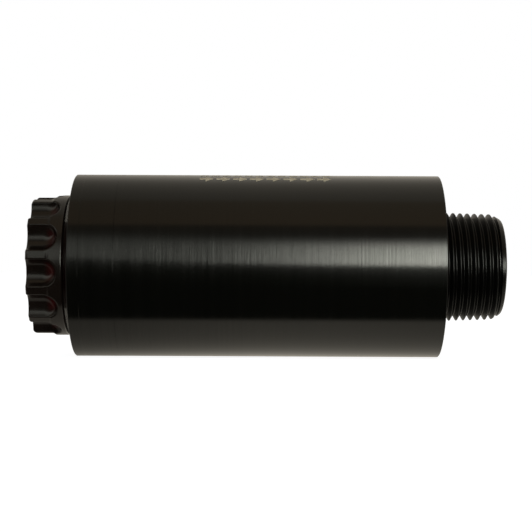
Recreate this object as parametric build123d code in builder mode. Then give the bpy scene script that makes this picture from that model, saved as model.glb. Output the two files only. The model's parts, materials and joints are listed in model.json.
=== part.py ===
from build123d import *
from math import atan, copysign, cos, degrees, hypot, radians, sin, tan
import os

# In-line magnetic system filter.
# Water enters through a swivel nut at -X, passes a strainer screen, flows around a sealed
# magnet core on the flow axis and leaves through a male taper pipe thread at +X.
# The origin is on the flow axis, halfway along the overall length, and +Z is up.
# All sizes are in millimetres.

# ---------------------------------------------------------------- driving dimensions
BARREL_DIAMETER = 56.3
BARREL_LENGTH = 111.8
SPIGOT_LENGTH = 19.5
NUT_LENGTH = 11.3
NUT_GAP = 1.9  # free space behind the swivel nut, which lets it slide back
OVERALL_LENGTH = NUT_LENGTH + NUT_GAP + BARREL_LENGTH + SPIGOT_LENGTH

# 1 inch taper pipe thread, 11.5 threads per inch, 1 in 16 on the diameter
THREAD_PITCH = 25.4 / 11.5
THREAD_HALF_ANGLE = 30.0
TAPER_PER_MM = 1 / 32
TAPER_ANGLE = degrees(atan(TAPER_PER_MM))
SPIGOT_END_RADIUS = 16.295  # the crests' taper line, carried on to the end of the spigot
CUTTER_BRIM = 0.05  # the groove's flanks run on this far past the crests
CUTTER_RISE = 0.6  # height of the cutter above the crests

# walls, bores and clearances
WALL = 3.0
BORE_RADIUS = BARREL_DIAMETER / 2 - WALL
OUTLET_RADIUS = 12.0
INLET_RADIUS = 10.0
SLIDE_FIT = 0.05  # radial clearance of pieces that slip together
RUNNING_FIT = 0.1  # radial clearance of the turning nut
END_PLAY = 0.05  # clearance along the axis
SEAL_SLACK = 0.01  # keeps a seal just clear of its groove's floor and wall
EDGE_BREAK = 0.4
BARREL_BREAK = 0.2  # the barrel's two outer edges

# ---------------------------------------------------------------- stations along the flow axis
NUT_FRONT = -OVERALL_LENGTH / 2
NUT_REAR = NUT_FRONT + NUT_LENGTH
BARREL_FRONT = NUT_REAR + NUT_GAP
BARREL_REAR = BARREL_FRONT + BARREL_LENGTH
SPIGOT_END = BARREL_REAR + SPIGOT_LENGTH

CAP_RIM = 13.7  # length of the inlet cap that shows outside the barrel
SEAM = BARREL_FRONT + CAP_RIM
CAP_PLUG = 12.0  # length of the cap that enters the barrel
CAP_END = SEAM + CAP_PLUG
CHAMBER_END = BARREL_REAR - 10.0

FLANGE_RADIUS = 15.0
NECK_RADIUS = 13.5
STEM_RADIUS = 12.5
LIP = 1.8
SLIP_RING = 0.6
SLIP_RING_RADIUS = 16.0
FLANGE = 1.8
WASHER = 2.0
LIP_FACE = NUT_REAR - LIP
SLIP_FRONT = LIP_FACE - END_PLAY - SLIP_RING
FLANGE_BACK = SLIP_FRONT - END_PLAY
FLANGE_FRONT = FLANGE_BACK - FLANGE
WASHER_FRONT = FLANGE_FRONT - WASHER

SPIDER = 6.0
DISC_SPRING = 1.8
SPIDER_IN_FRONT = CAP_END + DISC_SPRING
SPIDER_IN_BACK = SPIDER_IN_FRONT + SPIDER
SPIDER_OUT_FRONT = CHAMBER_END - SPIDER

CORE_RADIUS = 11.0
SLEEVE_WALL = 0.8
MAGNET_CLEARANCE = 0.15
MAGNET_RADIUS = CORE_RADIUS - SLEEVE_WALL - MAGNET_CLEARANCE
PLUG_HEAD = 2.0
PLUG_SPIGOT = 4.0
STUD_RADIUS = 4.0
MAGNETS = 6
MAGNET_LENGTH = 7.0
POLE_LENGTH = 1.5
CORE_START = SPIDER_IN_BACK
CORE_END = SPIDER_OUT_FRONT
STACK_START = CORE_START + PLUG_HEAD + PLUG_SPIGOT
STACK_END = CORE_END - PLUG_HEAD - PLUG_SPIGOT


# ---------------------------------------------------------------- helpers
def thread_frame(x):
    """Frame of a helix whose axis runs along +X from station x, and which starts at the top."""
    return Plane(origin=(x, 0, 0), x_dir=(0, 0, 1), z_dir=(1, 0, 0))


def spigot_radius(x):
    """Crest radius of the taper thread at station x."""
    return SPIGOT_END_RADIUS + (SPIGOT_END - x) * TAPER_PER_MM


def thread_cutter(crest_radius, root_radius, crest_flat, turns, cone_angle=0.0):
    """A solid that cuts one helical V groove around +Z, open at crest_radius."""
    slope = tan(radians(THREAD_HALF_ANGLE))
    outward = copysign(1, crest_radius - root_radius)
    brim = crest_radius + CUTTER_BRIM * outward
    outside = crest_radius + CUTTER_RISE * outward
    brim_half = (THREAD_PITCH - crest_flat) / 2 + CUTTER_BRIM * slope
    root_half = brim_half - abs(brim - root_radius) * slope
    with BuildPart() as cutter:
        with BuildLine() as path:
            Helix(THREAD_PITCH, turns * THREAD_PITCH, crest_radius, cone_angle=cone_angle)
        with BuildSketch(Plane.XZ):
            with BuildLine():
                Polyline(
                    (root_radius, -root_half),
                    (brim, -brim_half),
                    (outside, -brim_half),
                    (outside, brim_half),
                    (brim, brim_half),
                    (root_radius, root_half),
                    close=True,
                )
            make_face()
        sweep(path=path.wire(), is_frenet=True)
    return cutter.part


def ring(name, start, end, inner, outer):
    """A plain flat ring between two stations, written as its own piece."""
    with BuildPart() as piece:
        with BuildSketch(Plane.YZ.offset(start)):
            Circle(outer)
            if inner > 0:
                Circle(inner, mode=Mode.SUBTRACT)
        extrude(amount=end - start)
    save(piece, name)


def o_ring(name, station, floor_radius, wall_radius):
    """A round-section seal between a groove's floor and the wall that it seals against."""
    middle_radius = (floor_radius + wall_radius) / 2
    section_radius = (wall_radius - floor_radius) / 2 - SEAL_SLACK
    with BuildPart() as piece:
        with BuildSketch(Plane.XZ):
            with Locations((station, middle_radius)):
                Circle(section_radius)
        revolve(axis=Axis.X)
    save(piece, name)


def save(piece, name):
    """Labels a finished piece and writes it under its own name."""
    piece.part.label = name
    export_step(piece.part, f"parts/{name}.step")


os.makedirs("parts", exist_ok=True)

# ---------------------------------------------------------------- housing
# A cup turned from bar: thin barrel, thick outlet wall with a funnel, and a threaded spigot.
THREAD_DEPTH = 1.64
SPIGOT_CREST_FLAT = 0.16
RELIEF_LENGTH = 1.2
RELIEF_RADIUS = 15.0
FUNNEL_RADIUS = 20.0
FUNNEL_DEPTH = 5.0
SEAM_BREAK = 0.05
CREST_OFFSET = 4.8  # from the barrel's rear to the first crest at the spigot's top
GROOVE_START = BARREL_REAR + CREST_OFFSET - 1.5 * THREAD_PITCH
GROOVE_TURNS = (SPIGOT_END - GROOVE_START) / THREAD_PITCH + 1.5  # well past the end of the spigot

# the cone that leads into the thread, and the round that joins it to the flat end
LEAD_IN_ANGLE = 30.0
NOSE_ROUND = 1.3
NOSE_FACE_RADIUS = 13.9
NOSE_START = SPIGOT_END - NOSE_ROUND * (1 - sin(radians(LEAD_IN_ANGLE)))
NOSE_START_RADIUS = NOSE_FACE_RADIUS + NOSE_ROUND * cos(radians(LEAD_IN_ANGLE))
LEAD_IN_FALL = spigot_radius(NOSE_START) - NOSE_START_RADIUS
LEAD_IN_START = NOSE_START - LEAD_IN_FALL / (tan(radians(LEAD_IN_ANGLE)) - TAPER_PER_MM)
NOSE_WASTE = 3.0  # how far the waste cut off the nose reaches past the spigot's own surfaces

spigot_groove = thread_cutter(
    spigot_radius(GROOVE_START),
    spigot_radius(GROOVE_START) - THREAD_DEPTH,
    SPIGOT_CREST_FLAT,
    GROOVE_TURNS,
    -TAPER_ANGLE,
)

with BuildPart() as nose_waste:
    with BuildSketch(Plane.XZ):
        with BuildLine():
            Polyline(
                (SPIGOT_END, NOSE_FACE_RADIUS),
                (SPIGOT_END, OUTLET_RADIUS + EDGE_BREAK),
                (SPIGOT_END - EDGE_BREAK, OUTLET_RADIUS),
                (SPIGOT_END - EDGE_BREAK, OUTLET_RADIUS - NOSE_WASTE),
                (SPIGOT_END + NOSE_WASTE, OUTLET_RADIUS - NOSE_WASTE),
                (SPIGOT_END + NOSE_WASTE, SPIGOT_END_RADIUS + NOSE_WASTE),
                (LEAD_IN_START, SPIGOT_END_RADIUS + NOSE_WASTE),
                (LEAD_IN_START, spigot_radius(LEAD_IN_START)),
                (NOSE_START, NOSE_START_RADIUS),
            )
            RadiusArc((NOSE_START, NOSE_START_RADIUS), (SPIGOT_END, NOSE_FACE_RADIUS), NOSE_ROUND)
        make_face()
    revolve(axis=Axis.X)

with BuildPart() as housing:
    with BuildSketch(Plane.XZ):
        with BuildLine():
            Polyline(
                (CHAMBER_END, BORE_RADIUS),
                (SEAM, BORE_RADIUS),
                (SEAM, BARREL_DIAMETER / 2 - SEAM_BREAK),
                (SEAM + SEAM_BREAK, BARREL_DIAMETER / 2),
                (BARREL_REAR - BARREL_BREAK, BARREL_DIAMETER / 2),
                (BARREL_REAR, BARREL_DIAMETER / 2 - BARREL_BREAK),
                (BARREL_REAR, RELIEF_RADIUS),
                (BARREL_REAR + RELIEF_LENGTH, RELIEF_RADIUS),
                (BARREL_REAR + RELIEF_LENGTH, spigot_radius(BARREL_REAR + RELIEF_LENGTH)),
                (SPIGOT_END, SPIGOT_END_RADIUS),
                (SPIGOT_END, OUTLET_RADIUS),
                (CHAMBER_END + FUNNEL_DEPTH, OUTLET_RADIUS),
                (CHAMBER_END, FUNNEL_RADIUS),
                close=True,
            )
        make_face()
    revolve(axis=Axis.X)
    with Locations(thread_frame(GROOVE_START)):
        add(spigot_groove, mode=Mode.SUBTRACT)
    add(nose_waste.part, mode=Mode.SUBTRACT)
housing.part.label = "housing"
export_step(housing.part, "parts/housing.step")

# ---------------------------------------------------------------- inlet cap
# Flush rim at the inlet face, with a plug that enters the barrel and seals on an O-ring.
SCRIBE_OFFSET = 3.4  # shallow turned line on the rim
SCRIBE_WIDTH = 0.14
SCRIBE_DEPTH = 0.04
CAP_WALL = 9.0
CAP_THROAT_RADIUS = 18.0
CAP_MOUTH_RADIUS = 21.5
CAP_GROOVE_START = SEAM + 5.0
CAP_GROOVE_WIDTH = 2.4
CAP_GROOVE_END = CAP_GROOVE_START + CAP_GROOVE_WIDTH
CAP_GROOVE_RADIUS = 23.3
PLUG_LEAD_IN = 0.8

with BuildPart() as inlet_cap:
    with BuildSketch(Plane.XZ):
        with BuildLine():
            Polyline(
                (BARREL_FRONT, STEM_RADIUS + SLIDE_FIT),
                (BARREL_FRONT, BARREL_DIAMETER / 2 - BARREL_BREAK),
                (BARREL_FRONT + BARREL_BREAK, BARREL_DIAMETER / 2),
                (BARREL_FRONT + SCRIBE_OFFSET - SCRIBE_WIDTH / 2, BARREL_DIAMETER / 2),
                (BARREL_FRONT + SCRIBE_OFFSET, BARREL_DIAMETER / 2 - SCRIBE_DEPTH),
                (BARREL_FRONT + SCRIBE_OFFSET + SCRIBE_WIDTH / 2, BARREL_DIAMETER / 2),
                (SEAM - SEAM_BREAK, BARREL_DIAMETER / 2),
                (SEAM, BARREL_DIAMETER / 2 - SEAM_BREAK),
                (SEAM, BORE_RADIUS - SLIDE_FIT),
                (CAP_GROOVE_START, BORE_RADIUS - SLIDE_FIT),
                (CAP_GROOVE_START, CAP_GROOVE_RADIUS),
                (CAP_GROOVE_END, CAP_GROOVE_RADIUS),
                (CAP_GROOVE_END, BORE_RADIUS - SLIDE_FIT),
                (CAP_END - PLUG_LEAD_IN, BORE_RADIUS - SLIDE_FIT),
                (CAP_END, BORE_RADIUS - SLIDE_FIT - PLUG_LEAD_IN),
                (CAP_END, CAP_MOUTH_RADIUS),
                (CAP_GROOVE_START, CAP_MOUTH_RADIUS),
                (BARREL_FRONT + CAP_WALL, CAP_THROAT_RADIUS),
                (BARREL_FRONT + CAP_WALL, STEM_RADIUS + SLIDE_FIT),
                close=True,
            )
        make_face()
    revolve(axis=Axis.X)
inlet_cap.part.label = "inlet_cap"
export_step(inlet_cap.part, "parts/inlet_cap.step")

o_ring("cap_o_ring", (CAP_GROOVE_START + CAP_GROOVE_END) / 2, CAP_GROOVE_RADIUS, BORE_RADIUS)

# ---------------------------------------------------------------- inlet tailpiece
# Flange for the washer, neck for the swivel nut, and a stem that passes through the cap.
STEM_GROOVE_START = BARREL_FRONT + 3.0
STEM_GROOVE_END = STEM_GROOVE_START + 2.0
STEM_GROOVE_RADIUS = 11.2
CLIP_THICKNESS = 1.0
CLIP_GROOVE_RADIUS = 11.8
CLIP_START = BARREL_FRONT + CAP_WALL + END_PLAY
CLIP_END = CLIP_START + CLIP_THICKNESS
STEM_TAIL = 1.6  # what is left of the stem behind the clip
STEM_END = CLIP_END + STEM_TAIL

with BuildPart() as inlet_tailpiece:
    with BuildSketch(Plane.XZ):
        with BuildLine():
            Polyline(
                (FLANGE_FRONT, INLET_RADIUS),
                (FLANGE_FRONT, FLANGE_RADIUS),
                (FLANGE_BACK, FLANGE_RADIUS),
                (FLANGE_BACK, NECK_RADIUS),
                (BARREL_FRONT, NECK_RADIUS),
                (BARREL_FRONT, STEM_RADIUS),
                (STEM_GROOVE_START, STEM_RADIUS),
                (STEM_GROOVE_START, STEM_GROOVE_RADIUS),
                (STEM_GROOVE_END, STEM_GROOVE_RADIUS),
                (STEM_GROOVE_END, STEM_RADIUS),
                (CLIP_START - END_PLAY, STEM_RADIUS),
                (CLIP_START - END_PLAY, CLIP_GROOVE_RADIUS),
                (CLIP_END + END_PLAY, CLIP_GROOVE_RADIUS),
                (CLIP_END + END_PLAY, STEM_RADIUS),
                (STEM_END - EDGE_BREAK, STEM_RADIUS),
                (STEM_END, STEM_RADIUS - EDGE_BREAK),
                (STEM_END, INLET_RADIUS),
                close=True,
            )
        make_face()
    revolve(axis=Axis.X)
inlet_tailpiece.part.label = "inlet_tailpiece"
export_step(inlet_tailpiece.part, "parts/inlet_tailpiece.step")

o_ring(
    "tailpiece_o_ring",
    (STEM_GROOVE_START + STEM_GROOVE_END) / 2,
    STEM_GROOVE_RADIUS,
    STEM_RADIUS + SLIDE_FIT,
)

# Open external retaining ring with an eye at each side of its gap.
CLIP_RADIUS = 14.6
CLIP_GAP = 5.0
EYE_RADIUS = 2.0
EYE_HOLE_RADIUS = 0.75
EYE_ANGLE = 16.0
CLIP_CLEARANCE = 0.02  # radial, in its groove

with BuildPart() as tailpiece_circlip:
    with BuildSketch(Plane.YZ.offset(CLIP_START)):
        Circle(CLIP_RADIUS)
        with PolarLocations(CLIP_RADIUS, 2, start_angle=90 - EYE_ANGLE, angular_range=4 * EYE_ANGLE):
            Circle(EYE_RADIUS)
        Circle(CLIP_GROOVE_RADIUS + CLIP_CLEARANCE, mode=Mode.SUBTRACT)
        with Locations((0, CLIP_RADIUS)):
            Rectangle(CLIP_GAP, CLIP_RADIUS, mode=Mode.SUBTRACT)
        with PolarLocations(CLIP_RADIUS, 2, start_angle=90 - EYE_ANGLE, angular_range=4 * EYE_ANGLE):
            Circle(EYE_HOLE_RADIUS, mode=Mode.SUBTRACT)
    extrude(amount=CLIP_THICKNESS)
tailpiece_circlip.part.label = "tailpiece_circlip"
export_step(tailpiece_circlip.part, "parts/tailpiece_circlip.step")

# ---------------------------------------------------------------- swivel nut
# Hand nut with twelve ridges between ball-ended flutes, a collar behind them and an inner lip.
RIDGES = 12
RIDGE_RADIUS = 21.2
RIDGE_END = NUT_FRONT + 5.7
COLLAR_START = NUT_FRONT + 6.9
COLLAR_RADIUS = 21.7
FRONT_ROUND = 1.0
REAR_ROUND = 0.7
FLUTE_RADIUS = 4.5
FLUTE_CENTRE_RADIUS = 22.6
FLUTE_ROOT_RADIUS = FLUTE_CENTRE_RADIUS - FLUTE_RADIUS
FLUTE_BALL = NUT_FRONT + 5.0  # centre of the ball that ends each flute
FLUTE_OVERRUN = 1.0  # the flute cutter starts this far in front of the nut
FLUTE_PHASE = 6.5
RIDGE_EDGE_ROUND = 0.5
NUT_MINOR_RADIUS = 15.35
NUT_MAJOR_RADIUS = 16.55
NUT_CREST_FLAT = 0.75
NUT_GROOVE_OVERRUN = 1.0  # the groove runs this far into the cavity
MOUTH_CHAMFER = 0.8
CAVITY_RADIUS = 16.6
CAVITY_LEAD = 0.3  # how far the cavity starts in front of the washer
CAVITY_START = WASHER_FRONT - CAVITY_LEAD
EDGE_MARGIN = 0.1
FLUTE_START = NUT_FRONT - FLUTE_OVERRUN
FLUTE_END = FLUTE_BALL + FLUTE_RADIUS


def is_grip_edge(edge):
    """True for the edges of the ridges and flutes, and for the rim round the front face."""
    middle = edge.position_at(0.5)
    outside = hypot(middle.Y, middle.Z) > FLUTE_ROOT_RADIUS - EDGE_MARGIN
    return outside and middle.X < NUT_REAR - REAR_ROUND - EDGE_MARGIN


nut_groove = thread_cutter(
    NUT_MINOR_RADIUS,
    NUT_MAJOR_RADIUS,
    NUT_CREST_FLAT,
    (CAVITY_START + NUT_GROOVE_OVERRUN - NUT_FRONT + THREAD_PITCH) / THREAD_PITCH,
)

with BuildPart() as flute:
    with BuildSketch(Plane.XZ):
        with BuildLine():
            Polyline((FLUTE_START, 0), (FLUTE_START, FLUTE_RADIUS), (FLUTE_BALL, FLUTE_RADIUS))
            RadiusArc((FLUTE_BALL, FLUTE_RADIUS), (FLUTE_END, 0), FLUTE_RADIUS)
            Line((FLUTE_END, 0), (FLUTE_START, 0))
        make_face()
    revolve(axis=Axis.X)

with BuildPart() as swivel_nut:
    with BuildSketch(Plane.XZ):
        with BuildLine():
            Line((NUT_FRONT + FRONT_ROUND, RIDGE_RADIUS), (RIDGE_END, RIDGE_RADIUS))
            TangentArc((RIDGE_END, RIDGE_RADIUS), (COLLAR_START, COLLAR_RADIUS), tangent=(1, 0))
            Line((COLLAR_START, COLLAR_RADIUS), (NUT_REAR - REAR_ROUND, COLLAR_RADIUS))
            RadiusArc(
                (NUT_REAR - REAR_ROUND, COLLAR_RADIUS),
                (NUT_REAR, COLLAR_RADIUS - REAR_ROUND),
                REAR_ROUND,
            )
            Polyline(
                (NUT_REAR, COLLAR_RADIUS - REAR_ROUND),
                (NUT_REAR, NECK_RADIUS + RUNNING_FIT),
                (LIP_FACE, NECK_RADIUS + RUNNING_FIT),
                (LIP_FACE, CAVITY_RADIUS),
                (CAVITY_START, CAVITY_RADIUS),
                (CAVITY_START, NUT_MINOR_RADIUS),
                (NUT_FRONT + MOUTH_CHAMFER, NUT_MINOR_RADIUS),
                (NUT_FRONT, NUT_MAJOR_RADIUS),
                (NUT_FRONT, RIDGE_RADIUS - FRONT_ROUND),
            )
            RadiusArc(
                (NUT_FRONT, RIDGE_RADIUS - FRONT_ROUND),
                (NUT_FRONT + FRONT_ROUND, RIDGE_RADIUS),
                FRONT_ROUND,
            )
        make_face()
    revolve(axis=Axis.X)
    with Locations(Plane.YZ):
        with PolarLocations(FLUTE_CENTRE_RADIUS, RIDGES, start_angle=FLUTE_PHASE):
            add(flute.part.rotate(Axis.Y, -90), mode=Mode.SUBTRACT)
    fillet(swivel_nut.edges().filter_by(is_grip_edge), RIDGE_EDGE_ROUND)
    with Locations(thread_frame(NUT_FRONT - THREAD_PITCH)):
        add(nut_groove, mode=Mode.SUBTRACT)
swivel_nut.part.label = "swivel_nut"
export_step(swivel_nut.part, "parts/swivel_nut.step")

ring("slip_ring", SLIP_FRONT, SLIP_FRONT + SLIP_RING, NECK_RADIUS + RUNNING_FIT, SLIP_RING_RADIUS)

# ---------------------------------------------------------------- washer and strainer
WASHER_HOLE_RADIUS = 10.6
SCREEN_RIM_RADIUS = 11.6
SCREEN_THICKNESS = 0.4
SCREEN_DOME_RADIUS = 9.6
SCREEN_DOME_HEIGHT = 3.5
SCREEN_HOLE_RADIUS = 0.6
SCREEN_HOLE_STEP = 1.9
SCREEN_HOLE_RINGS = 4

with BuildPart() as sealing_washer:
    with BuildSketch(Plane.YZ.offset(WASHER_FRONT)):
        Circle(FLANGE_RADIUS)
        Circle(WASHER_HOLE_RADIUS, mode=Mode.SUBTRACT)
    extrude(amount=WASHER)
    with BuildSketch(Plane.YZ.offset(FLANGE_FRONT)):
        Circle(SCREEN_RIM_RADIUS)
    extrude(amount=-SCREEN_THICKNESS, mode=Mode.SUBTRACT)
sealing_washer.part.label = "sealing_washer"
export_step(sealing_washer.part, "parts/sealing_washer.step")

dome_sphere = (SCREEN_DOME_RADIUS**2 + SCREEN_DOME_HEIGHT**2) / (2 * SCREEN_DOME_HEIGHT)
rim_front = FLANGE_FRONT - SCREEN_THICKNESS
dome_centre = rim_front + SCREEN_DOME_HEIGHT - dome_sphere

with BuildPart() as strainer_screen:
    with BuildSketch(Plane.XZ):
        with BuildLine():
            RadiusArc(
                (rim_front, SCREEN_DOME_RADIUS),
                (rim_front + SCREEN_DOME_HEIGHT, 0),
                dome_sphere,
            )
            Line((rim_front + SCREEN_DOME_HEIGHT, 0), (FLANGE_FRONT + SCREEN_DOME_HEIGHT, 0))
            RadiusArc(
                (FLANGE_FRONT + SCREEN_DOME_HEIGHT, 0),
                (FLANGE_FRONT, SCREEN_DOME_RADIUS),
                -dome_sphere,
            )
            Polyline(
                (FLANGE_FRONT, SCREEN_DOME_RADIUS),
                (FLANGE_FRONT, SCREEN_RIM_RADIUS - SLIDE_FIT),
                (rim_front, SCREEN_RIM_RADIUS - SLIDE_FIT),
                (rim_front, SCREEN_DOME_RADIUS),
            )
        make_face()
    revolve(axis=Axis.X)
    with BuildSketch(Plane.YZ.offset(rim_front)):
        Circle(SCREEN_HOLE_RADIUS)
        for step in range(1, SCREEN_HOLE_RINGS + 1):
            with PolarLocations(step * SCREEN_HOLE_STEP, 6 * step):
                Circle(SCREEN_HOLE_RADIUS)
    extrude(amount=2 * SCREEN_DOME_HEIGHT, mode=Mode.SUBTRACT)
strainer_screen.part.label = "strainer_screen"
export_step(strainer_screen.part, "parts/strainer_screen.step")

# ---------------------------------------------------------------- spiders
ARMS = 3
ARM_WIDTH = 3.0
HUB_RADIUS = 7.0
SPIDER_CLEARANCE = 0.2
SPIDER_RADIUS = BORE_RADIUS - SPIDER_CLEARANCE
SPIDER_RING = 2.6

for spider_name, spider_start in (("inlet_spider", SPIDER_IN_FRONT), ("outlet_spider", SPIDER_OUT_FRONT)):
    with BuildPart() as spider:
        with BuildSketch(Plane.YZ.offset(spider_start)):
            Circle(SPIDER_RADIUS)
            Circle(SPIDER_RADIUS - SPIDER_RING, mode=Mode.SUBTRACT)
            with PolarLocations(SPIDER_RADIUS / 2, ARMS, start_angle=90):
                Rectangle(SPIDER_RADIUS - SPIDER_RING, ARM_WIDTH)
            Circle(HUB_RADIUS)
            Circle(STUD_RADIUS + SLIDE_FIT, mode=Mode.SUBTRACT)
        extrude(amount=SPIDER)
    save(spider, spider_name)


def disc_spring(name, start, inner, outer, height, thickness):
    """A coned disc spring whose rim leans back from start."""
    with BuildPart() as piece:
        with BuildSketch(Plane.XZ):
            with BuildLine():
                Polyline(
                    (start, inner),
                    (start + thickness, inner),
                    (start + height, outer),
                    (start + height - thickness, outer),
                    close=True,
                )
            make_face()
        revolve(axis=Axis.X)
    save(piece, name)


DISC_SPRING_BORE = 21.8
DISC_SPRING_THICKNESS = 0.7

disc_spring("disc_spring", CAP_END, DISC_SPRING_BORE, SPIDER_RADIUS, DISC_SPRING, DISC_SPRING_THICKNESS)

# ---------------------------------------------------------------- magnet core
# A stack of magnets and steel pole plates in a closed stainless sleeve.
STUD_LENGTH = SPIDER
NOSE_STUD_TAIL = 7.0  # what passes the inlet spider and carries the nut
NOSE_STUD_LENGTH = SPIDER + NOSE_STUD_TAIL
STACK_SPRING_BORE = 4.0
STACK_SPRING_THICKNESS = 0.3
SPRING_ROOM = STACK_END - STACK_START - MAGNETS * MAGNET_LENGTH - (MAGNETS - 1) * POLE_LENGTH

ring("core_sleeve", CORE_START + PLUG_HEAD, CORE_END - PLUG_HEAD, CORE_RADIUS - SLEEVE_WALL, CORE_RADIUS)

for plug_name, face, inward, stud_length in (
    ("core_nose_plug", CORE_START, 1, NOSE_STUD_LENGTH),
    ("core_tail_plug", CORE_END, -1, STUD_LENGTH),
):
    with BuildPart() as plug:
        with BuildSketch(Plane.YZ.offset(face)):
            Circle(CORE_RADIUS)
        extrude(amount=inward * PLUG_HEAD)
        with BuildSketch(Plane.YZ.offset(face)):
            Circle(CORE_RADIUS - SLEEVE_WALL)
        extrude(amount=inward * (PLUG_HEAD + PLUG_SPIGOT))
        with BuildSketch(Plane.YZ.offset(face)):
            Circle(STUD_RADIUS)
        extrude(amount=-inward * stud_length)
    save(plug, plug_name)

magnet_step = MAGNET_LENGTH + POLE_LENGTH
for index in range(MAGNETS):
    magnet_start = STACK_START + index * magnet_step
    ring(f"magnet_{index + 1}", magnet_start, magnet_start + MAGNET_LENGTH, 0, MAGNET_RADIUS)
    if index < MAGNETS - 1:
        pole_start = magnet_start + MAGNET_LENGTH
        ring(f"pole_plate_{index + 1}", pole_start, pole_start + POLE_LENGTH, 0, MAGNET_RADIUS)

stack_back = STACK_END - SPRING_ROOM
disc_spring(
    "stack_spring", stack_back, STACK_SPRING_BORE, MAGNET_RADIUS, SPRING_ROOM, STACK_SPRING_THICKNESS
)

# Domed nut on the nose plug's stud, in front of the inlet spider.
NOSE_NUT_BASE = 6.5
NOSE_NUT_FLATS = 13.0
NOSE_NUT_DOME = 5.8
NOSE_NUT_HOLE = 7.2

with BuildPart() as nose_nut:
    with BuildSketch(Plane.YZ.offset(SPIDER_IN_FRONT)):
        RegularPolygon(NOSE_NUT_FLATS / 2, 6, major_radius=False)
    extrude(amount=-NOSE_NUT_BASE)
    with Locations((SPIDER_IN_FRONT - NOSE_NUT_BASE, 0, 0)):
        Sphere(NOSE_NUT_DOME)
    with BuildSketch(Plane.YZ.offset(SPIDER_IN_FRONT)):
        Circle(NOSE_NUT_FLATS)
    extrude(amount=NOSE_NUT_FLATS, mode=Mode.SUBTRACT)
    with BuildSketch(Plane.YZ.offset(SPIDER_IN_FRONT)):
        Circle(STUD_RADIUS + SLIDE_FIT)
    extrude(amount=-NOSE_NUT_HOLE, mode=Mode.SUBTRACT)
nose_nut.part.label = "nose_nut"
export_step(nose_nut.part, "parts/nose_nut.step")

# ---------------------------------------------------------------- printed flow marks
# Thin ink on the barrel's upper side: a row of arrows that point to the outlet, and a dashed line.
INK = 0.06
PRINT_START = -21.25
PRINT_LENGTH = 40.9
ARROWS = 8
ARROW_ANGLE = 70.0  # measured up from -Y, around the flow axis
ARROW_HEIGHT = 4.4
ARROW_HEAD = 2.4
ARROW_SHAFT = 1.5
DASH_ANGLE = 79.5
DASHES = 12
DASH_HEIGHT = 1.4
ARROW_GAP = 0.8
DASH_GAP = 1.0
PRINT_DEPTH = 2.0  # the outlines are pushed out through this much of the barrel's wall


def print_plane(angle):
    """Plane just under the barrel's surface, x along the flow, facing out at the given angle."""
    outward = (0, -cos(radians(angle)), sin(radians(angle)))
    base = BARREL_DIAMETER / 2 - PRINT_DEPTH
    return Plane(origin=tuple(base * part for part in outward), x_dir=(1, 0, 0), z_dir=outward)


arrow_step = PRINT_LENGTH / ARROWS
with BuildPart() as flow_marking:
    with BuildSketch(print_plane(ARROW_ANGLE)):
        for index in range(ARROWS):
            tip = PRINT_START + (index + 1) * arrow_step - ARROW_GAP / 2
            tail = tip - arrow_step + ARROW_GAP
            with BuildLine():
                Polyline(
                    (tip, 0),
                    (tip - ARROW_HEAD, ARROW_HEIGHT / 2),
                    (tip - ARROW_HEAD, ARROW_SHAFT / 2),
                    (tail, ARROW_SHAFT / 2),
                    (tail, -ARROW_SHAFT / 2),
                    (tip - ARROW_HEAD, -ARROW_SHAFT / 2),
                    (tip - ARROW_HEAD, -ARROW_HEIGHT / 2),
                    close=True,
                )
            make_face()
    extrude(amount=2 * PRINT_DEPTH)
    with BuildSketch(Plane.YZ.offset(-BARREL_DIAMETER)):
        Circle(BARREL_DIAMETER / 2 + INK)
        Circle(BARREL_DIAMETER / 2, mode=Mode.SUBTRACT)
    extrude(amount=2 * BARREL_DIAMETER, mode=Mode.INTERSECT)
flow_marking.part.label = "flow_marking"
export_step(flow_marking.part, "parts/flow_marking.step")

dash_step = PRINT_LENGTH / DASHES
with BuildPart() as edge_marking:
    with BuildSketch(print_plane(DASH_ANGLE)):
        for index in range(DASHES):
            with Locations((PRINT_START + (index + 0.5) * dash_step, 0)):
                Rectangle(dash_step - DASH_GAP, DASH_HEIGHT)
    extrude(amount=2 * PRINT_DEPTH)
    with BuildSketch(Plane.YZ.offset(-BARREL_DIAMETER)):
        Circle(BARREL_DIAMETER / 2 + INK)
        Circle(BARREL_DIAMETER / 2, mode=Mode.SUBTRACT)
    extrude(amount=2 * BARREL_DIAMETER, mode=Mode.INTERSECT)
edge_marking.part.label = "edge_marking"
export_step(edge_marking.part, "parts/edge_marking.step")
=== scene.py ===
import json
import math

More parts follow.
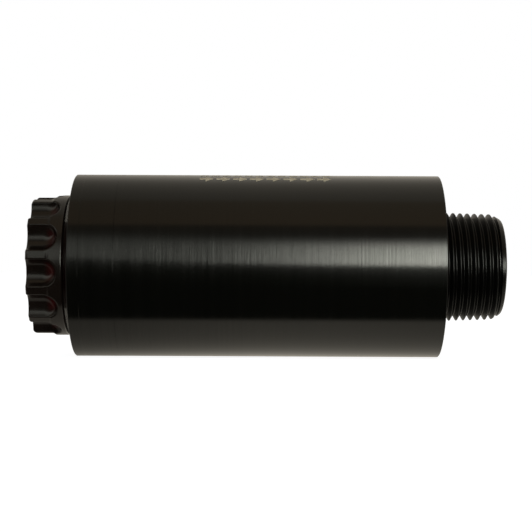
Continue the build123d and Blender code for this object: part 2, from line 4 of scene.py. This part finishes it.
import bmesh
import bpy
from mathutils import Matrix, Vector


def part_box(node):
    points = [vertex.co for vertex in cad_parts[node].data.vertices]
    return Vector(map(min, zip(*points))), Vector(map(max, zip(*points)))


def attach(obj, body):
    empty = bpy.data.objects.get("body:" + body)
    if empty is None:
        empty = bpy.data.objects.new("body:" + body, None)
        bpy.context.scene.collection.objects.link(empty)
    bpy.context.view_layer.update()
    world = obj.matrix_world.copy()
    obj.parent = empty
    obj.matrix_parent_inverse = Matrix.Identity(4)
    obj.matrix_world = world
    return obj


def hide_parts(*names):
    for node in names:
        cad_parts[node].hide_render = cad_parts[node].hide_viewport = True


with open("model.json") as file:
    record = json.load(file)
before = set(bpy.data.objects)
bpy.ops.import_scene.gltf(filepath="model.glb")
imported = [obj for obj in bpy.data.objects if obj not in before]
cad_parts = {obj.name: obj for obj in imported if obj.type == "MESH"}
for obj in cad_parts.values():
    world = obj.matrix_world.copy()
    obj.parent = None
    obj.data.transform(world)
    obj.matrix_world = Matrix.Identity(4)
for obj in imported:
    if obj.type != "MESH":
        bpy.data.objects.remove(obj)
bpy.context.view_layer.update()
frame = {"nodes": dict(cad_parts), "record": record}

# Looks of the in-line magnetic filter. All lengths are in metres, in the frame of the CAD model:
# the flow runs along +X, the camera looks along +Y, and +Z is up.

_, barrel_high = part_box("housing")
BARREL_RADIUS = barrel_high.z
nut_low, nut_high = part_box("swivel_nut")
screen_low, screen_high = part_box("strainer_screen")
mounts = {mount["name"]: mount for mount in frame["record"]["mounts"]}
THREAD_START = barrel_high.x - mounts["outlet_thread"]["dims"]["length_mm"] / 1000
NOSE_LENGTH = 0.0024  # the smooth rounded end of the spigot
THREAD_END = barrel_high.x - NOSE_LENGTH


# ---------------------------------------------------------------- node helpers
class Nodes:
    """A short way to write a node tree: nodes are added by type and linked by socket name."""

    def __init__(self, tree):
        self.tree = tree
        self.tree.nodes.clear()

    def add(self, kind, inputs=None, **settings):
        node = self.tree.nodes.new(kind)
        for name, value in settings.items():
            setattr(node, name, value)
        for name, value in (inputs or {}).items():
            self.feed(node.inputs[name], value)
        return node

    def feed(self, socket, value):
        if isinstance(value, bpy.types.NodeSocket):
            self.tree.links.new(value, socket)
        else:
            socket.default_value = value

    def math(self, operation, a, b=0.0, clamp=False):
        node = self.add("ShaderNodeMath", operation=operation, use_clamp=clamp)
        self.feed(node.inputs[0], a)
        self.feed(node.inputs[1], b)
        return node.outputs[0]

    def scaled(self, vector, factor):
        """A colour times a number."""
        node = self.add("ShaderNodeVectorMath", operation="SCALE")
        self.feed(node.inputs[0], vector)
        self.feed(node.inputs["Scale"], factor)
        return node.outputs[0]

    def ramp(self, factor, stops, interpolation="LINEAR"):
        node = self.add("ShaderNodeValToRGB")
        node.color_ramp.interpolation = interpolation
        elements = node.color_ramp.elements
        while len(elements) > 1:
            elements.remove(elements[-1])
        elements[0].position, elements[0].color = stops[0][0], colour(stops[0][1])
        for place, value in stops[1:]:
            elements.new(place).color = colour(value)
        self.feed(node.inputs["Fac"], factor)
        return node.outputs["Color"]

    def spread(self, value, low, high, new_low, new_high):
        node = self.add("ShaderNodeMapRange", {"Value": value})
        node.inputs["From Min"].default_value = low
        node.inputs["From Max"].default_value = high
        node.inputs["To Min"].default_value = new_low
        node.inputs["To Max"].default_value = new_high
        return node.outputs["Result"]


def colour(value):
    """A grey level or an (r, g, b) triple as a colour with full alpha."""
    if isinstance(value, (int, float)):
        value = (value, value, value)
    return (*value, 1.0)


def material(name, **settings):
    """A Principled material. Settings are constant values for the shader's own sockets."""
    mat = bpy.data.materials.new(name)
    mat.use_nodes = True
    nodes = Nodes(mat.node_tree)
    shader = nodes.add("ShaderNodeBsdfPrincipled")
    output = nodes.add("ShaderNodeOutputMaterial")
    nodes.tree.links.new(shader.outputs["BSDF"], output.inputs["Surface"])
    for name, value in settings.items():
        socket = shader.inputs[name.replace("_", " ")]
        socket.default_value = colour(value) if socket.type == "RGBA" else value
    return mat, nodes, shader


# ---------------------------------------------------------------- materials
NOISE_LOW = 0.3  # nearly all of a noise texture's values lie between these two
NOISE_HIGH = 0.7
ALONG_X = (1.0, 0.004, 0.004)  # patterns that change along the flow axis only, as lathe marks do


def object_point(nodes):
    """The point on the object, in metres."""
    return nodes.add("ShaderNodeTexCoord").outputs["Object"]


def object_place(nodes, stretch=(1.0, 1.0, 1.0)):
    """The point on the object with each axis scaled. A small scale stretches a pattern."""
    return nodes.add("ShaderNodeMapping", {"Vector": object_point(nodes), "Scale": stretch}).outputs[0]


def object_parts(nodes):
    """The X, Y and Z outputs of the point on the object, in metres."""
    return nodes.add("ShaderNodeSeparateXYZ", {"Vector": object_point(nodes)}).outputs


def noise(nodes, place, scale, detail=2.0, roughness=0.5):
    texture = nodes.add(
        "ShaderNodeTexNoise", {"Vector": place, "Scale": scale, "Detail": detail, "Roughness": roughness}
    )
    return texture.outputs["Fac"]


def between(nodes, value, low, high):
    """A number that goes from low to high with a noise."""
    return nodes.spread(value, NOISE_LOW, NOISE_HIGH, low, high)


def two_tone(nodes, value, dark, light):
    """A colour that goes from dark to light with a noise."""
    return nodes.ramp(value, [(NOISE_LOW, dark), (NOISE_HIGH, light)])


def add_bump(nodes, shader, height, depth, strength=0.5):
    bump = nodes.add("ShaderNodeBump", {"Height": height, "Distance": depth, "Strength": strength})
    nodes.feed(shader.inputs["Normal"], bump.outputs["Normal"])


def around_axis(nodes, shader):
    """Turns the anisotropic highlight so that its grain runs around the flow axis."""
    tangent = nodes.add("ShaderNodeTangent", direction_type="RADIAL", axis="X")
    nodes.feed(shader.inputs["Tangent"], tangent.outputs["Tangent"])


TURNING_DEPTH = 0.00005
THREAD_DULLNESS = 0.22  # what the cut thread adds to the barrel's roughness
NOSE_DULLNESS = 0.5  # the nose's share of that
THREAD_EDGE = 0.0002  # how quickly the dullness sets in at the barrel's end
NOSE_EDGE = 0.0006  # and fades at the nose


def turned_black():
    """Black barrel turned on a lathe: fine rings, slightly uneven sheen and a little dust."""
    mat, nodes, shader = material("turned_black", IOR=1.5, Anisotropic=0.3, Anisotropic_Rotation=0.25)
    around_axis(nodes, shader)
    rings = object_place(nodes, ALONG_X)
    fine = noise(nodes, rings, 1000.0, 5.0, 0.8)
    broad = noise(nodes, rings, 300.0, 6.0, 0.75)
    handled = noise(nodes, object_place(nodes, (0.6, 1.0, 1.0)), 45.0, 3.0)
    sheen = nodes.math("ADD", between(nodes, broad, 0.11, 0.19), between(nodes, handled, -0.015, 0.02))
    dulled = nodes.math("MULTIPLY", thread_zone(nodes), THREAD_DULLNESS)
    nodes.feed(shader.inputs["Roughness"], nodes.math("ADD", sheen, dulled))
    black = two_tone(nodes, broad, (0.0005, 0.0005, 0.0004), (0.0012, 0.0011, 0.0009))
    nodes.feed(shader.inputs["Base Color"], with_dust(nodes, black))
    add_bump(nodes, shader, fine, TURNING_DEPTH)
    return mat


def thread_zone(nodes):
    """1 on the cut thread, 0 on the barrel and NOSE_DULLNESS on the smooth nose."""
    along = object_parts(nodes)["X"]
    behind = nodes.spread(along, THREAD_START, THREAD_START + THREAD_EDGE, 0.0, 1.0)
    before = nodes.spread(along, THREAD_END - NOSE_EDGE, THREAD_END, 1.0, NOSE_DULLNESS)
    return nodes.math("MULTIPLY", behind, before)


DUST_SCALE = 110.0  # about one cell every 9 mm
DUST_RADIUS = 0.012  # of a cell, which is a tenth of a millimetre
DUST_CHOICE = 0.86  # one cell in seven has a speck
DUST_COLOUR = (0.05, 0.048, 0.042)


def with_dust(nodes, base):
    """Adds sparse pale specks of dust, a few tenths of a millimetre across, to a base colour."""
    cells = nodes.add("ShaderNodeTexVoronoi", {"Vector": object_place(nodes), "Scale": DUST_SCALE})
    speck = nodes.math("LESS_THAN", cells.outputs["Distance"], DUST_RADIUS)
    chosen = nodes.add("ShaderNodeSeparateColor", {"Color": cells.outputs["Color"]})
    kept = nodes.math("GREATER_THAN", chosen.outputs[0], DUST_CHOICE)
    dusty = nodes.add("ShaderNodeMix", {"Factor": nodes.math("MULTIPLY", speck, kept)}, data_type="RGBA")
    nodes.feed(dusty.inputs["A"], base)
    dusty.inputs["B"].default_value = colour(DUST_COLOUR)
    return dusty.outputs["Result"]


# Painted shade: dark red is painted into the bottoms and the rear ends of the nut's flutes, where shade
# falls.
# The red starts and is full at these depths below its ridges, and at these distances behind its front face.
SHADE_DEPTH_START = 0.0012
SHADE_DEPTH_FULL = 0.0026
SHADE_PLACE_START = 0.0055
SHADE_PLACE_FULL = 0.0082
RECESS_SHADE_COLOUR = (0.020, 0.0010, 0.0012)


def moulded_black():
    """Semi-gloss moulded nylon of the hand nut, finely grained, with dark red shade painted into its flute
    recesses.
    """
    mat, nodes, shader = material("moulded_black", IOR=1.5)
    place = object_place(nodes)
    flow = noise(nodes, place, 130.0, 3.0)
    # Dark red painted shade in the flute recesses, mixed over the nut's black.
    recess_shade = nodes.add("ShaderNodeMix", {"Factor": painted_recess_shade(nodes)}, data_type="RGBA")
    black = two_tone(nodes, flow, (0.0030, 0.0017, 0.0013), (0.0050, 0.0029, 0.0023))
    nodes.feed(recess_shade.inputs["A"], black)
    recess_shade.inputs["B"].default_value = colour(RECESS_SHADE_COLOUR)
    nodes.feed(shader.inputs["Base Color"], recess_shade.outputs["Result"])
    nodes.feed(shader.inputs["Roughness"], between(nodes, flow, 0.17, 0.23))
    add_bump(nodes, shader, noise(nodes, place, 2600.0), 0.000006, 0.35)
    return mat


def painted_recess_shade(nodes):
    """Mask of the painted red shade: 1 at the rear ends of the nut's flutes, 0 on its ridges and its front.
    """
    parts = object_parts(nodes)
    depth_squared = nodes.math("POWER", parts["Y"], 2.0)
    height_squared = nodes.math("POWER", parts["Z"], 2.0)
    radius = nodes.math("SQRT", nodes.math("ADD", depth_squared, height_squared))
    sunk = nodes.spread(radius, nut_high.z - SHADE_DEPTH_START, nut_high.z - SHADE_DEPTH_FULL, 0.0, 1.0)
    rearward = nodes.spread(parts["X"], nut_low.x + SHADE_PLACE_START, nut_low.x + SHADE_PLACE_FULL, 0.0, 1.0)
    return nodes.math("MULTIPLY", sunk, rearward)


def satin_black():
    """Satin nylon of the tailpiece, black with a red cast, with faint turning marks."""
    mat, nodes, shader = material("satin_black", IOR=1.5)
    rings = noise(nodes, object_place(nodes, ALONG_X), 3000.0, 3.0)
    black = two_tone(nodes, rings, (0.024, 0.005, 0.005), (0.034, 0.008, 0.007))
    nodes.feed(shader.inputs["Base Color"], black)
    nodes.feed(shader.inputs["Roughness"], between(nodes, rings, 0.34, 0.46))
    add_bump(nodes, shader, rings, 0.000005)
    return mat


def natural_acetal():
    """Milky white acetal with a faint mottle and machining marks."""
    mat, nodes, shader = material(
        "natural_acetal",
        IOR=1.48,
        Subsurface_Weight=0.25,
        Subsurface_Radius=(0.0012, 0.0011, 0.0009),
        Subsurface_Scale=1.0,
    )
    mottle = noise(nodes, object_place(nodes), 160.0, 4.0)
    white = two_tone(nodes, mottle, (0.70, 0.69, 0.64), (0.80, 0.79, 0.75))
    nodes.feed(shader.inputs["Base Color"], white)
    nodes.feed(shader.inputs["Roughness"], between(nodes, mottle, 0.38, 0.52))
    add_bump(nodes, shader, noise(nodes, object_place(nodes, ALONG_X), 2200.0, 3.0), 0.000006)
    return mat


def dull_rubber():
    """Moulded black rubber with a dull bloom."""
    mat, nodes, shader = material("dull_rubber", IOR=1.5)
    place = object_place(nodes)
    bloom = noise(nodes, place, 90.0, 5.0, 0.65)
    black = nodes.ramp(bloom, [(0.35, (0.016, 0.016, 0.017)), (0.75, (0.045, 0.045, 0.046))])
    nodes.feed(shader.inputs["Base Color"], black)
    nodes.feed(shader.inputs["Roughness"], between(nodes, bloom, 0.58, 0.8))
    add_bump(nodes, shader, noise(nodes, place, 1800.0, 3.0), 0.00001, 0.6)
    return mat


def brushed_metal(name, dark, light, low_roughness, high_roughness):
    """Metal with fine lathe lines around the flow axis."""
    mat, nodes, shader = material(name, Metallic=1.0, Anisotropic=0.4, Anisotropic_Rotation=0.25)
    around_axis(nodes, shader)
    lines = noise(nodes, object_place(nodes, ALONG_X), 3800.0, 4.0, 0.6)
    nodes.feed(shader.inputs["Base Color"], two_tone(nodes, lines, dark, light))
    nodes.feed(shader.inputs["Roughness"], between(nodes, lines, low_roughness, high_roughness))
    add_bump(nodes, shader, lines, 0.000004, 0.4)
    return mat


def spring_steel():
    """Rolled spring strip with a faint straw and blue heat tint."""
    mat, nodes, shader = material("spring_steel", Metallic=1.0)
    place = object_place(nodes)
    tint = noise(nodes, place, 70.0, 3.0)
    stops = [(0.32, (0.36, 0.34, 0.30)), (0.52, (0.45, 0.44, 0.42)), (0.7, (0.36, 0.38, 0.43))]
    nodes.feed(shader.inputs["Base Color"], nodes.ramp(tint, stops))
    rolled = noise(nodes, place, 900.0, 3.0)
    nodes.feed(shader.inputs["Roughness"], between(nodes, rolled, 0.2, 0.36))
    return mat


def nickel_plate():
    """Bright nickel with a slight orange peel and finger smudges."""
    mat, nodes, shader = material("nickel_plate", Metallic=1.0)
    place = object_place(nodes)
    smudge = noise(nodes, place, 110.0, 4.0)
    nickel = two_tone(nodes, smudge, (0.62, 0.60, 0.55), (0.70, 0.68, 0.64))
    nodes.feed(shader.inputs["Base Color"], nickel)
    nodes.feed(shader.inputs["Roughness"], between(nodes, smudge, 0.1, 0.24))
    add_bump(nodes, shader, noise(nodes, place, 700.0), 0.000006, 0.3)
    return mat


def pale_ink():
    """Pad-printed ink, a little patchy in places."""
    mat, nodes, shader = material("pale_ink", IOR=1.45)
    cover = noise(nodes, object_place(nodes), 900.0, 3.0)
    ink = two_tone(nodes, cover, (0.40, 0.36, 0.28), (0.62, 0.57, 0.47))
    nodes.feed(shader.inputs["Base Color"], ink)
    nodes.feed(shader.inputs["Roughness"], between(nodes, cover, 0.45, 0.6))
    return mat


MATERIALS = {
    "barrel_black": turned_black(),
    "nut_black": moulded_black(),
    "neck_black": satin_black(),
    "white_polymer": natural_acetal(),
    "rubber": dull_rubber(),
    "stainless": brushed_metal("stainless_steel", (0.54, 0.53, 0.50), (0.68, 0.67, 0.64), 0.22, 0.36),
    "spring_steel": spring_steel(),
    "magnet_plating": nickel_plate(),
    "pole_steel": brushed_metal("ground_steel", (0.38, 0.38, 0.39), (0.52, 0.52, 0.53), 0.28, 0.42),
    "pale_ink": pale_ink(),
}

slots = {part["node"]: part["material_slot"] for part in frame["record"]["subparts"]}
for name, node in frame["nodes"].items():
    node.data.materials.clear()
    node.data.materials.append(MATERIALS[slots[name]])


# ---------------------------------------------------------------- woven screen
WIRE_RADIUS = 0.00013
WIRE_PITCH = 0.0008
WEAVE_HEIGHT = 0.00014
WIRE_SIDES = 6
WIRE_POINTS = 4  # from one crossing to the next
DOME_RADIUS = 0.0096
DOME_HEIGHT = 0.0035
RIM_THICKNESS = 0.0004
RIM_STEPS = 96  # around the rim
ROUND_STEPS = 4  # across each of its rounded edges


def dome_depth(radius):
    """How far the dome stands out from its rim at a distance from the flow axis."""
    sphere = (DOME_RADIUS**2 + DOME_HEIGHT**2) / (2 * DOME_HEIGHT)
    return math.sqrt(sphere**2 - min(radius, DOME_RADIUS) ** 2) - (sphere - DOME_HEIGHT)


def add_tube(mesh, points, radius, sides):
    """A closed-ended tube of flat-sided rings along a list of points."""
    rings = []
    for index, point in enumerate(points):
        ahead = points[min(index + 1, len(points) - 1)] - points[max(index - 1, 0)]
        side = ahead.cross(Vector((1, 0, 0))).normalized()
        up = side.cross(ahead).normalized()
        ring = []
        for k in range(sides):
            turn = 2 * math.pi * k / sides
            ring.append(mesh.verts.new(point + radius * (side * math.cos(turn) + up * math.sin(turn))))
        rings.append(ring)
    for one, two in zip(rings, rings[1:]):
        for k in range(sides):
            mesh.faces.new((one[k], one[(k + 1) % sides], two[(k + 1) % sides], two[k]))
    mesh.faces.new(rings[0][::-1])
    mesh.faces.new(rings[-1])


def add_wires(mesh, rim_x):
    """Two crossing sets of wires, each passing over and under the other."""
    count = int(DOME_RADIUS / WIRE_PITCH)
    for row in range(-count, count + 1):
        offset = row * WIRE_PITCH
        reach = math.sqrt(DOME_RADIUS**2 - offset**2) + WIRE_PITCH / 2
        steps = max(WIRE_POINTS, int(WIRE_POINTS * reach / WIRE_PITCH))
        for crossing in (0, 1):
            points = []
            for step in range(-steps, steps + 1):
                along = reach * step / steps
                wave = WEAVE_HEIGHT * math.cos(math.pi * (along / WIRE_PITCH + row + crossing))
                x = rim_x + dome_depth(math.hypot(along, offset)) + wave
                points.append(Vector((x, along, offset) if crossing else (x, offset, along)))
            add_tube(mesh, points, WIRE_RADIUS, WIRE_SIDES)


def add_rim(mesh, start, end):
    """A pressed flat ring with rounded edges, which grips the ends of the wires."""
    round_edge = (end - start) / 2
    middle = (start + end) / 2
    outline = []
    for centre, first in ((screen_high.z - round_edge, 0), (DOME_RADIUS, 180)):
        for step in range(ROUND_STEPS + 1):
            angle = math.radians(first - 90 + 180 * step / ROUND_STEPS)
            outline.append((middle + round_edge * math.sin(angle), centre + round_edge * math.cos(angle)))
    rings = []
    for step in range(RIM_STEPS):
        angle = 2 * math.pi * step / RIM_STEPS
        rings.append([mesh.verts.new((x, r * math.cos(angle), r * math.sin(angle))) for x, r in outline])
    for step, one in enumerate(rings):
        two = rings[(step + 1) % RIM_STEPS]
        for k in range(len(outline)):
            j = (k + 1) % len(outline)
            mesh.faces.new((one[k], one[j], two[j], two[k]))


def woven_screen():
    """Domed wire cloth in a pressed rim, in place of the plain perforated dome."""
    mesh = bmesh.new()
    add_wires(mesh, screen_low.x + RIM_THICKNESS / 2)
    add_rim(mesh, screen_low.x, screen_low.x + RIM_THICKNESS)
    bmesh.ops.recalc_face_normals(mesh, faces=mesh.faces)
    for face in mesh.faces:
        face.smooth = True
    data = bpy.data.meshes.new("woven_screen")
    mesh.to_mesh(data)
    mesh.free()
    data.materials.append(MATERIALS["stainless"])
    screen = bpy.data.objects.new("woven_screen", data)
    bpy.context.scene.collection.objects.link(screen)
    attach(screen, "body")
    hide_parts("strainer_screen")


woven_screen()

# ---------------------------------------------------------------- studio
# Directions are given by their turn around the flow axis, in degrees: 0 is towards the camera, 90
# is up and 180 is away from it. How far a direction points along +X, from -1 to 1, is its second
# measure. The gains scale the bands by that, so they are brightest abreast of the object.
UPPER_BANDS = [
    (-180, 0.0),
    (0, (0.012, 0.014, 0.010)),
    (30, (0.12, 0.12, 0.10)),
    (51, (0.15, 0.13, 0.10)),
    (53, (0.35, 0.27, 0.18)),
    (87, (0.30, 0.25, 0.18)),
    (92, (0.35, 0.32, 0.26)),
    (128, (0.40, 0.37, 0.31)),
    (150, (0.52, 0.48, 0.41)),
    (180, (0.58, 0.54, 0.46)),
]
UPPER_GAIN = [(-1.0, 0.3), (-0.5, 0.8), (-0.12, 0.86), (0.0, 1.17), (0.12, 1.1), (0.5, 0.9), (1.0, 0.3)]
LOWER_BANDS = [
    (-180, (0.50, 0.47, 0.40)),
    (-120, (0.47, 0.44, 0.37)),
    (-73.5, (0.46, 0.43, 0.36)),
    (-69, (0.012, 0.014, 0.010)),
    (-2, (0.012, 0.014, 0.010)),
    (0, 0.0),
]
LOWER_GAIN = [
    (-1.0, 0.3), (-0.5, 0.6), (-0.13, 0.66), (-0.07, 1.0), (0.0, 1.36), (0.06, 1.3), (0.13, 1.15),
    (0.5, 0.9), (1.0, 0.3),
]

# A long lamp just above the camera, sharp at its lower edge and soft at its upper one.
SOFTBOX = [
    (-24, 0.0), (-10, 0.012), (3.6, 0.05), (5.8, 1.0), (13, 1.0), (24, 0.77), (28, 0.6), (35, 0.12), (40, 0.0)
]
SOFTBOX_TILT = 26.0  # degrees that the lamp drops, per unit of direction along +X
SOFTBOX_COLOUR = (1.0, 1.02, 0.9)
SOFTBOX_LIGHT = 20.0
# The lamp's share of its full strength in each direction along +X. It brightens towards the outlet.
SOFTBOX_STRENGTH = [
    (-0.2, 0.045), (-0.13, 0.022), (-0.06, 0.02), (0.0, 0.04), (0.06, 0.09), (0.12, 0.54), (0.15, 0.92),
    (0.18, 0.95), (0.24, 0.03),
]

# A wide lamp at the outlet end, from where it starts to where it is full.
SIDE_LAMP = [(-30, 0.0), (0, 1.0), (20, 1.0), (60, 0.0)]
SIDE_LIGHT = 9.0
SIDE_START = 0.92
SIDE_FULL = 0.965


def studio_world():
    """White to the camera. To everything else, a ring of soft studio bands around the flow axis."""
    world = bpy.data.worlds.new("studio")
    bpy.context.scene.world = world
    world.use_nodes = True
    nodes = Nodes(world.node_tree)
    direction = nodes.add("ShaderNodeTexCoord").outputs["Generated"]
    split = nodes.add("ShaderNodeSeparateXYZ", {"Vector": direction})
    along = split.outputs["X"]
    forward = nodes.math("MULTIPLY", split.outputs["Y"], -1.0)
    turn = nodes.math("MULTIPLY", nodes.math("ARCTAN2", split.outputs["Z"], forward), 180 / math.pi)
    tilted = nodes.math("ADD", turn, nodes.math("MULTIPLY", along, SOFTBOX_TILT))

    def ring_ramp(angle, stops, interpolation="LINEAR"):
        factor = nodes.spread(angle, -180.0, 180.0, 0.0, 1.0)
        return nodes.ramp(factor, [((turn + 180) / 360, value) for turn, value in stops], interpolation)

    def along_ramp(stops):
        factor = nodes.spread(along, -1.0, 1.0, 0.0, 1.0)
        return nodes.ramp(factor, [((x + 1) / 2, value) for x, value in stops])

    strength = nodes.math("MULTIPLY", along_ramp(SOFTBOX_STRENGTH), SOFTBOX_LIGHT)
    lamp = nodes.math("MULTIPLY", strength, ring_ramp(tilted, SOFTBOX))
    end_light = nodes.spread(along, SIDE_START, SIDE_FULL, 0.0, SIDE_LIGHT)
    side = nodes.math("MULTIPLY", end_light, ring_ramp(turn, SIDE_LAMP, "EASE"))
    upper = nodes.scaled(ring_ramp(turn, UPPER_BANDS), along_ramp(UPPER_GAIN))
    lower = nodes.scaled(ring_ramp(turn, LOWER_BANDS), along_ramp(LOWER_GAIN))
    lamps = nodes.scaled(SOFTBOX_COLOUR, nodes.math("ADD", lamp, side))
    bands = nodes.add("ShaderNodeVectorMath", {0: upper, 1: lower}, operation="ADD")
    total = nodes.add("ShaderNodeVectorMath", {0: bands.outputs[0], 1: lamps}, operation="ADD")
    lit = nodes.add("ShaderNodeBackground", {"Color": total.outputs[0], "Strength": 1.0})
    seen = nodes.add("ShaderNodeBackground", {"Color": colour(1.0), "Strength": 1.0})
    path = nodes.add("ShaderNodeLightPath")
    mixed = nodes.add("ShaderNodeMixShader", {"Fac": path.outputs["Is Camera Ray"]})
    nodes.feed(mixed.inputs[1], lit.outputs[0])
    nodes.feed(mixed.inputs[2], seen.outputs[0])
    output = nodes.add("ShaderNodeOutputWorld")
    nodes.tree.links.new(mixed.outputs[0], output.inputs["Surface"])


FLOOR_SIZE = 8.0
FLOOR_COLOUR = (0.40, 0.43, 0.50)
FLOOR_GLOW = 0.93  # keeps the floor as pale as the background


def add_floor():
    """Plain pale floor just under the barrel. Reflections see the studio's bands instead of it."""
    bpy.ops.mesh.primitive_plane_add(size=FLOOR_SIZE, location=(0, 0, -BARREL_RADIUS))
    floor = bpy.context.object
    floor.name = "floor"
    mat, nodes, shader = material("floor_pale", Base_Color=FLOOR_COLOUR, Roughness=1.0)
    shader.inputs["Emission Color"].default_value = colour(1.0)
    shader.inputs["Emission Strength"].default_value = FLOOR_GLOW
    shader.inputs["Specular IOR Level"].default_value = 0.0
    floor.data.materials.append(mat)
    floor.visible_glossy = False


CAMERA_DISTANCE = 0.447
CAMERA_SHIFT = -0.0005  # along the flow axis, from the object's middle
CAMERA_ROLL = -0.26
LENS = 97.1  # millimetres, on a sensor of the width below
SENSOR_WIDTH = 36.0


def add_camera():
    """Camera level with the flow axis and square to it, with a slight roll."""
    data = bpy.data.cameras.new("camera")
    data.lens = LENS
    data.sensor_width = SENSOR_WIDTH
    data.clip_start = 0.01
    data.clip_end = 50.0
    camera = bpy.data.objects.new("camera", data)
    camera.location = (CAMERA_SHIFT, -CAMERA_DISTANCE, 0.0)
    camera.rotation_euler = (math.radians(90), math.radians(CAMERA_ROLL), 0)
    bpy.context.scene.collection.objects.link(camera)
    bpy.context.scene.camera = camera


studio_world()
add_floor()
add_camera()
bpy.context.scene.view_settings.view_transform = "Standard"
